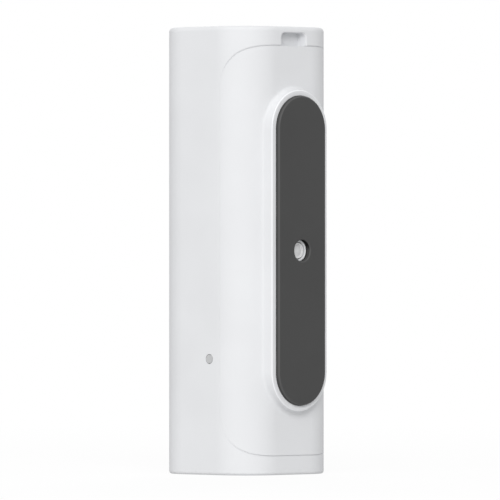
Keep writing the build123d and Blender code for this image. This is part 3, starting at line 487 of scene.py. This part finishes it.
def make_foam():
    """The strip under the plate's edge and the ring round its opening."""
    low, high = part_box("plate_seal")
    radius = (high.x - low.x) / 2
    straight = (high.z - low.z) / 2 - radius
    section = foam_section(high.y, low.y + FOAM_SLACK)
    size = len(section)
    points = []
    faces = []
    for loop in (foam_loop(radius - FOAM_W / 2, straight), foam_loop(FOAM_RING_R, 0.0)):
        first = len(points)
        for step, (out_x, out_z, x, z) in enumerate(loop):
            points += [(x + out_x * offset, y, z + out_z * offset) for offset, y in section]
            faces += band(first + step * size, first + (step + 1) % len(loop) * size, size)
    foam = add_mesh("plate_foam", points, faces, body="cover", slot="foam")
    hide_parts("plate_seal")
    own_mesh(foam)


make_foam()

# The eye of the camera: a dished ring on the cover, and a dished bezel that holds the lens in its nose
RING_Y = -43.8 * MM
RING_HOLE_R = 2.82 * MM
RING_R = 3.2 * MM
RING_RISE = 0.3 * MM
RING_SEAT = 0.05 * MM
RING_LEDGE = 0.025 * MM
BEZEL_Y = -43.6 * MM
BEZEL_HOLE_R = 1.85 * MM
BEZEL_R = 2.44 * MM
BEZEL_RISE = 0.15 * MM
BEZEL_SEAT = 0.2 * MM
BEZEL_SINK = 0.16 * MM
LIP = 0.05 * MM
LIP_FALL = 0.0125 * MM


def dish(hole, radius, seat, bottom, top):
    """Profile of a ring whose face slopes in from a narrow round lip to the edge of its hole."""
    return [
        (hole, seat),
        (hole, bottom),
        (radius - 2 * LIP, top + LIP_FALL),
        (radius - LIP, top),
        (radius, top + LIP),
        (radius, seat),
    ]


def make_eye():
    """The ring sits on the cover's face, and the bezel on the lens nose behind the cover's hole."""
    ring = dish(RING_HOLE_R, RING_R, RING_Y + RING_SEAT, RING_Y - RING_LEDGE, RING_Y - RING_RISE)
    lathe("camera_ring", ring, body="cover", slot="shell")
    bezel = dish(BEZEL_HOLE_R, BEZEL_R, BEZEL_Y + BEZEL_SEAT, BEZEL_Y + BEZEL_SINK, BEZEL_Y - BEZEL_RISE)
    lathe("lens_bezel", bezel, body="housing", slot="lens_body")


make_eye()

# The seam between cover and housing: its place in side view, and the round corners that it goes over.
# The seal has two radii and two depths, which change on the arcs from the front's to the sides' own.
SEAM_SPLIT_Y = -30.4 * MM
SEAM_R = 13.8 * MM
SEAM_CENTRE_Y = SEAM_SPLIT_Y - SEAM_R
SEAM_CENTRE_Z = 50.25 * MM
FRONT_Y = -42.0 * MM
CORNER_R = 13.1 * MM
FLAT_HALF = 7.9 * MM
CORNER_Y = FRONT_Y + CORNER_R
NOTCH_HALF = 5.6 * MM
SEAL_GROW = (0.10 * MM, 0.27 * MM)
SEAL_SINK = (0.12 * MM, 0.6 * MM)
SIDE_GROW = (0.03 * MM, 0.29 * MM)
SIDE_SINK = (0.03 * MM, 0.6 * MM)
FADE_TOP = (radians(12), radians(35))
FADE_FOOT = (radians(35), radians(55))
SEAL_STEPS = 32


def between(start, end, share):
    return start + (end - start) * share


def seal_arc(grow, sink, fade):
    """One edge of the seal round the upper arc of the left side, from the front, in steps that start short."""
    radius = SEAM_R + SEAL_GROW[grow]
    last = acos((FRONT_Y + SEAL_SINK[sink] - SEAM_CENTRE_Y) / radius)
    arc = []
    for step in range(SEAL_STEPS + 1):
        turn = last * (1 - (step / SEAL_STEPS) ** 2)
        share = min(max((fade[1] - turn) / (fade[1] - fade[0]), 0.0), 1.0)
        radius = SEAM_R + between(SEAL_GROW[grow], SIDE_GROW[grow], share)
        inset = between(SEAL_SINK[sink], SIDE_SINK[sink], share)
        y = SEAM_CENTRE_Y + radius * cos(turn)
        x = FLAT_HALF + sqrt(max((CORNER_R - inset) ** 2 - (y - CORNER_Y) ** 2, 0.0))
        arc.append((-x, y, SEAM_CENTRE_Z + radius * sin(turn)))
    return arc


def seal_half(grow, sink):
    """Points of one edge of the seal, from the notch over the left side to the lower run."""
    upper = seal_arc(grow, sink, FADE_TOP)
    start = (-NOTCH_HALF, FRONT_Y + SEAL_SINK[sink], upper[0][2])
    lower = [(x, y, -z) for x, y, z in reversed(seal_arc(grow, sink, FADE_FOOT))]
    return [start] + upper + lower


def make_seam_seal():
    """A thin light strip in the seam, a little below the surface and open at the thumb notch."""
    rings = []
    for grow, sink in ((0, 0), (1, 0), (1, 1), (0, 1)):
        half = seal_half(grow, sink)
        rings.append(half + [(-x, y, z) for x, y, z in reversed(half)])
    size = len(rings)
    count = len(rings[0])
    points = [ring[step] for step in range(count) for ring in rings]
    faces = []
    for step in range(count - 1):
        faces += band(step * size, (step + 1) * size, size)
    faces.append(tuple(reversed(range(size))))
    faces.append(tuple(range((count - 1) * size, count * size)))
    add_mesh("seam_seal", points, faces, body="housing", slot="shell")


make_seam_seal()

# The thumb notch: the drafted cheeks and round upper corners of its two ends
NOTCH_TOP = 68.0 * MM
NOTCH_END = 5.5 * MM
NOTCH_CORNER = 1.4 * MM
NOTCH_BEVEL = 0.25 * MM
NOTCH_DEPTH = 2.98 * MM
NOTCH_MOUTH_Y = FRONT_Y + NOTCH_BEVEL
NOTCH_BACK_Y = FRONT_Y + NOTCH_DEPTH
CHEEK_INNER = 4.1 * MM
CHEEK_ROUND = 2.2 * MM
CHEEK_CLEAR = 0.025 * MM
CHEEK_DRAFT = (0.03 * MM, 0.8 * MM)
CHEEK_LAYERS = 4
CHEEK_STEPS = 8


def cheek_outline(y, draft):
    """One layer of a cheek: up the end of the notch, round its corner, and back down the drafted face."""
    foot = SEAM_CENTRE_Z + sqrt((SEAM_R + SEAL_GROW[1]) ** 2 - (y - SEAM_CENTRE_Y) ** 2)
    outline = [(NOTCH_END, y, foot)]
    for step in range(CHEEK_STEPS + 1):
        turn = pi / 2 * step / CHEEK_STEPS
        x = NOTCH_END - NOTCH_CORNER * (1 - cos(turn))
        outline.append((x, y, NOTCH_TOP - NOTCH_CORNER * (1 - sin(turn))))
    reach = NOTCH_END - draft - CHEEK_INNER
    for step in range(CHEEK_STEPS + 1):
        turn = pi / 2 * (1 - step / CHEEK_STEPS)
        x = CHEEK_INNER + reach * cos(turn)
        outline.append((x, y, NOTCH_TOP - CHEEK_CLEAR - CHEEK_ROUND * (1 - sin(turn))))
    outline.append((NOTCH_END - draft, y, foot))
    return outline


def make_notch_cheek(name, side):
    """The cheek at the left or right end of the notch, in layers from its mouth to its back."""
    points = []
    faces = []
    for layer in range(CHEEK_LAYERS + 1):
        share = layer / CHEEK_LAYERS
        y = between(NOTCH_MOUTH_Y, NOTCH_BACK_Y, share)
        draft = between(*CHEEK_DRAFT, share)
        points += [(side * x, y, z) for x, y, z in cheek_outline(y, draft)]
    size = len(points) // (CHEEK_LAYERS + 1)
    for layer in range(CHEEK_LAYERS):
        faces += band(layer * size, (layer + 1) * size, size)
    faces.append(tuple(range(size)))
    faces.append(tuple(range(CHEEK_LAYERS * size, (CHEEK_LAYERS + 1) * size)))
    add_mesh(name, points, faces, body="housing", slot="shell")


make_notch_cheek("notch_cheek_left", -1)
make_notch_cheek("notch_cheek_right", 1)

# Small parts inside: bevelled blocks that share out a node's box, 0 at its low corner and 1 at its high one
BLOCK_BEVEL = 0.1 * MM
BEVEL_STEPS = 2
MODULE_BOARD_T = 0.3
PAD_COUNT = 12
PAD_W = 0.04
AERIAL_COUNT = 6
AERIAL_X = (0.76, 0.96)
AERIAL_Z = (0.15, 0.85)
AERIAL_W = 0.012
AERIAL_T = 0.03
LINK_H = 0.015
LINK_LAP = 0.002
MIC_BASE_T = 0.3
CONTACT_STEP = 0.5
MOUTH_T = 0.14
PLUG_SPLIT = 0.6
PANEL_CORNER = 0.08


def bevelled_block(low, high):
    """A box between two corners, bevelled by no more than a quarter of its least side."""
    shape = bmesh.new()
    bmesh.ops.create_cube(shape, size=1.0)
    extent = high - low
    fit = Matrix.Translation((low + high) / 2) @ Matrix.Diagonal((*extent, 1))
    bmesh.ops.transform(shape, matrix=fit, verts=shape.verts)
    bevel = min(BLOCK_BEVEL, min(extent) / 4)
    bmesh.ops.bevel(
        shape, geom=shape.edges[:], offset=bevel, segments=BEVEL_STEPS, profile=0.5, affect="EDGES"
    )
    shape.verts.index_update()
    return shape


def blocks(name, node_name, shares, slot):
    """One piece of bevelled blocks; each runs between two corners given as shares of the node's box."""
    low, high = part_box(node_name)
    size = high - low
    points = []
    faces = []
    for start, end in shares:
        shape = bevelled_block(low + size * Vector(start), low + size * Vector(end))
        first = len(points)
        points += [tuple(corner.co) for corner in shape.verts]
        faces += [tuple(first + corner.index for corner in face.verts) for face in shape.faces]
        shape.free()
    return add_mesh(name, points, faces, body="housing", slot=slot)


def places(count, first, last):
    """Evenly spaced places from first to last."""
    return [between(first, last, step / (count - 1)) for step in range(count)]


def aerial_fold():
    """The wire of the aerial: upright runs, linked at the foot and at the head in turn."""
    top = MODULE_BOARD_T + AERIAL_T
    runs = places(AERIAL_COUNT, *AERIAL_X)
    fold = [((x, MODULE_BOARD_T, AERIAL_Z[0]), (x + AERIAL_W, top, AERIAL_Z[1])) for x in runs]
    for step, x in enumerate(runs[:-1]):
        foot = AERIAL_Z[1] - LINK_H if step % 2 else AERIAL_Z[0]
        start = x + AERIAL_W - LINK_LAP
        end = runs[step + 1] + LINK_LAP
        fold.append(((start, MODULE_BOARD_T, foot), (end, top, foot + LINK_H)))
    return fold


def make_module():
    """Radio module: a small board with edge pads, a shield can, and a bare end with a folded aerial."""
    blocks("module_board", "radio_module", [((0, 0, 0.02), (1, MODULE_BOARD_T, 0.98))], slot="board")
    shield = [((0.05, MODULE_BOARD_T, 0.07), (0.72, 1, 0.93))]
    can = blocks("module_can", "radio_module", shield, slot="module")
    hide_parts("radio_module")
    pads = []
    for near, far in ((0, 0.019), (0.981, 1)):
        pads += [((x, 0.03, near), (x + PAD_W, 0.27, far)) for x in places(PAD_COUNT, 0.05, 0.9)]
    blocks("module_pads", "radio_module", pads + aerial_fold(), slot="contact")


def make_microphone():
    """A small can on its base."""
    shares = [((0, 0, 0), (1, 1, MIC_BASE_T)), ((0.05, 0.06, MIC_BASE_T), (0.95, 0.94, 1))]
    can = blocks("microphone_can", "microphone", shares, slot="microphone")
    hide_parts("microphone")


def make_contact_body():
    """The stepped block that carries the battery's contacts, ribbed at the back."""
    steps = [((0, 0, 0), (1, 1, CONTACT_STEP)), ((0.06, 0.1, CONTACT_STEP), (0.94, 0.9, 1))]
    ribs = [((x, 0.9, CONTACT_STEP), (x + PAD_W, 0.98, 0.95)) for x in places(5, 0.1, 0.86)]
    body = blocks("contact_body", "contact_block", steps + ribs, slot="connector")
    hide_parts("contact_block")


def make_plug_body():
    """The plug of the audio leads, with a latch and a row of mouths for the leads."""
    shell = [((0, 0, MOUTH_T), (1, 0.9, 1)), ((0.35, 0.9, 0.3), (0.65, 1, 0.8))]
    mouths = [((x, 0.15, 0), (x + 0.1, 0.75, MOUTH_T)) for x in places(6, 0.04, 0.86)]
    body = blocks("plug_body", "audio_plug", shell + mouths, slot="connector")
    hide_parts("audio_plug")


def make_camera_plug():
    """The two halves of the connector between the camera board and the main board, and its leads."""
    halves = [((0, PLUG_SPLIT, 0), (1, 1, 1)), ((0.05, 0, 0.1), (0.95, PLUG_SPLIT, 0.9))]
    plug = blocks("camera_plug", "camera_connector", halves, slot="connector")
    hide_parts("camera_connector")
    leads = []
    for near, far in ((0.04, 0.1), (0.9, 0.96)):
        leads += [((x, 0.05, near), (x + PAD_W, 0.55, far)) for x in places(8, 0.1, 0.86)]
    blocks("camera_plug_leads", "camera_connector", leads, slot="contact")


def make_camera_panel():
    """The camera's square board with its corners notched out."""
    near = PANEL_CORNER
    far = 1 - PANEL_CORNER
    board = [((0, 0, near), (1, 1, far)), ((near, 0, 0), (far, 1, near)), ((near, 0, far), (far, 1, 1))]
    panel = blocks("camera_panel", "camera_board", board, slot="board")
    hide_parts("camera_board")


make_module()
make_microphone()
make_contact_body()
make_plug_body()
make_camera_plug()
make_camera_panel()

# Stage: a pale floor and a white background

body_low, body_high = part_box("rear_housing")
MIDDLE = (body_low + body_high) / 2
FLOOR_SIZE = 40.0
BASE_HALF = 20.05 * MM
BASE_CORNER_R = 12.15 * MM
CORNER_STEPS = 8
FLOOR_Z = cad_box[0].z
BOUNCE = 0.585
SHADOW_SHARE = 0.12
SHADOW_REACH = (0.25, 0.7)
SKY_LEVEL = 0.545
LAMP_DISTANCE = 6.0
LAMP_SIZE = 2.9


def mixed(tree, share, first, second):
    """A shader that goes from the first to the second as the share goes from 0 to 1."""
    mix = tree.nodes.new("ShaderNodeMixShader")
    tree.links.new(share, mix.inputs["Fac"])
    tree.links.new(first.outputs[0], mix.inputs[1])
    tree.links.new(second.outputs[0], mix.inputs[2])
    return mix


def seen_by_eye(tree):
    """1 for camera, mirror and see-through rays, so that they meet the white background."""
    path = tree.nodes.new("ShaderNodeLightPath")
    total = path.outputs["Is Camera Ray"]
    for name in ("Is Glossy Ray", "Is Transmission Ray"):
        most = tree.nodes.new("ShaderNodeMath")
        most.operation = "MAXIMUM"
        tree.links.new(total, most.inputs[0])
        tree.links.new(path.outputs[name], most.inputs[1])
        total = most.outputs[0]
    return total


def shadow_share(tree):
    """How much of the floor takes shadow: some round the object, nothing far from it."""
    place = tree.nodes.new("ShaderNodeTexCoord")
    length = tree.nodes.new("ShaderNodeVectorMath")
    length.operation = "LENGTH"
    tree.links.new(place.outputs["Object"], length.inputs[0])
    fade = tree.nodes.new("ShaderNodeMapRange")
    fade.inputs["From Min"].default_value = SHADOW_REACH[0]
    fade.inputs["From Max"].default_value = SHADOW_REACH[1]
    fade.inputs["To Min"].default_value = SHADOW_SHARE
    fade.inputs["To Max"].default_value = 0.0
    tree.links.new(length.outputs["Value"], fade.inputs["Value"])
    return fade.outputs["Result"]


def floor_finish():
    """White with a faint shadow for the eye, a duller light for the object, and clear from below."""
    material = bpy.data.materials.new("pale_floor")
    material.use_nodes = True
    tree = material.node_tree
    tree.nodes.remove(tree.nodes["Principled BSDF"])
    white = tree.nodes.new("ShaderNodeEmission")
    shade = tree.nodes.new("ShaderNodeBsdfDiffuse")
    shade.inputs["Color"].default_value = as_colour(1.0)
    dull = tree.nodes.new("ShaderNodeEmission")
    dull.inputs["Color"].default_value = as_colour(BOUNCE)
    clear = tree.nodes.new("ShaderNodeBsdfTransparent")
    below = tree.nodes.new("ShaderNodeNewGeometry").outputs["Backfacing"]
    bright = mixed(tree, shadow_share(tree), white, shade)
    above = mixed(tree, seen_by_eye(tree), dull, bright)
    surface = mixed(tree, below, above, clear)
    tree.links.new(surface.outputs[0], tree.nodes["Material Output"].inputs["Surface"])
    return material


def make_floor():
    """A pale floor, open under the base, so that the underside can be looked at."""
    centre = BASE_HALF - BASE_CORNER_R
    points = []
    for quarter, (x, y) in enumerate(((1, 1), (-1, 1), (-1, -1), (1, -1))):
        for step in range(CORNER_STEPS + 1):
            turn = (quarter + step / CORNER_STEPS) * pi / 2
            inner = Vector((x * centre + BASE_CORNER_R * cos(turn), y * centre + BASE_CORNER_R * sin(turn)))
            outer = inner * (FLOOR_SIZE / 2 / inner.length)
            points.append((MIDDLE.x + inner.x, MIDDLE.y + inner.y, FLOOR_Z))
            points.append((MIDDLE.x + outer.x, MIDDLE.y + outer.y, FLOOR_Z))
    count = len(points)
    faces = [(side, side + 1, (side + 3) % count, (side + 2) % count) for side in range(0, count, 2)]
    mesh = bpy.data.meshes.new("floor")
    mesh.from_pydata(points, [], faces)
    floor = bpy.data.objects.new("floor", mesh)
    bpy.context.scene.collection.objects.link(floor)
    mesh.materials.append(floor_finish())


def make_world():
    """White behind the object for the eye, and a grey sky for the light that falls on it."""
    world = bpy.data.worlds.new("studio")
    bpy.context.scene.world = world
    world.use_nodes = True
    tree = world.node_tree
    sky = tree.nodes["Background"]
    sky.inputs["Color"].default_value = as_colour(SKY_LEVEL)
    white = tree.nodes.new("ShaderNodeBackground")
    white.inputs["Color"].default_value = as_colour(1.0)
    seen = mixed(tree, seen_by_eye(tree), sky, white)
    tree.links.new(seen.outputs[0], tree.nodes["World Output"].inputs["Surface"])


def aim(thing, eye, target):
    """Place a lamp or a camera at the eye, upright and facing the target."""
    back = (eye - target).normalized()
    right = Vector((0, 0, 1)).cross(back).normalized()
    up = back.cross(right)
    turn = Matrix((right, up, back)).transposed().to_4x4()
    thing.matrix_world = Matrix.Translation(eye) @ turn


def direction(azimuth, elevation):
    """From the object towards an eye at that azimuth and elevation; azimuth 0 is in front."""
    turn = Matrix.Rotation(radians(azimuth), 3, "Z") @ Matrix.Rotation(radians(-elevation), 3, "X")
    return turn @ Vector((0, -1, 0))


def softbox(name, azimuth, elevation, level):
    """A square soft lamp; level is the share of white that it gives to a surface that faces it."""
    lamp = bpy.data.lights.new(name, "AREA")
    lamp.size = LAMP_SIZE
    lamp.energy = level * pi * pi * LAMP_DISTANCE**2
    thing = bpy.data.objects.new(name, lamp)
    bpy.context.scene.collection.objects.link(thing)
    aim(thing, MIDDLE + direction(azimuth, elevation) * LAMP_DISTANCE, MIDDLE)


# The camera looks at the front left corner, level with the middle, from far away
VIEW_AZIMUTH = -45.0
VIEW_DISTANCE = 2.49
VIEW_LENS = 570.6
VIEW_OFFSET = Vector((1.13 * MM, 0.19 * MM))
VIEW_SENSOR = 36.0
VIEW_END = 100.0


def make_camera():
    """The camera of the photograph's view."""
    camera = bpy.data.cameras.new("camera")
    camera.lens = VIEW_LENS
    camera.sensor_width = VIEW_SENSOR
    camera.clip_end = VIEW_END
    thing = bpy.data.objects.new("camera", camera)
    bpy.context.scene.collection.objects.link(thing)
    back = direction(VIEW_AZIMUTH, 0)
    right = Vector((0, 0, 1)).cross(back)
    target = MIDDLE + right * VIEW_OFFSET.x + Vector((0, 0, VIEW_OFFSET.y))
    aim(thing, target + back * VIEW_DISTANCE, target)
    bpy.context.scene.camera = thing


make_floor()
make_world()
softbox("key", azimuth=-45, elevation=28, level=0.453)
softbox("side_fill", azimuth=-80, elevation=25, level=0.165)
softbox("back_light", azimuth=135, elevation=30, level=0.25)
make_camera()
bpy.context.scene.view_settings.view_transform = "Standard"
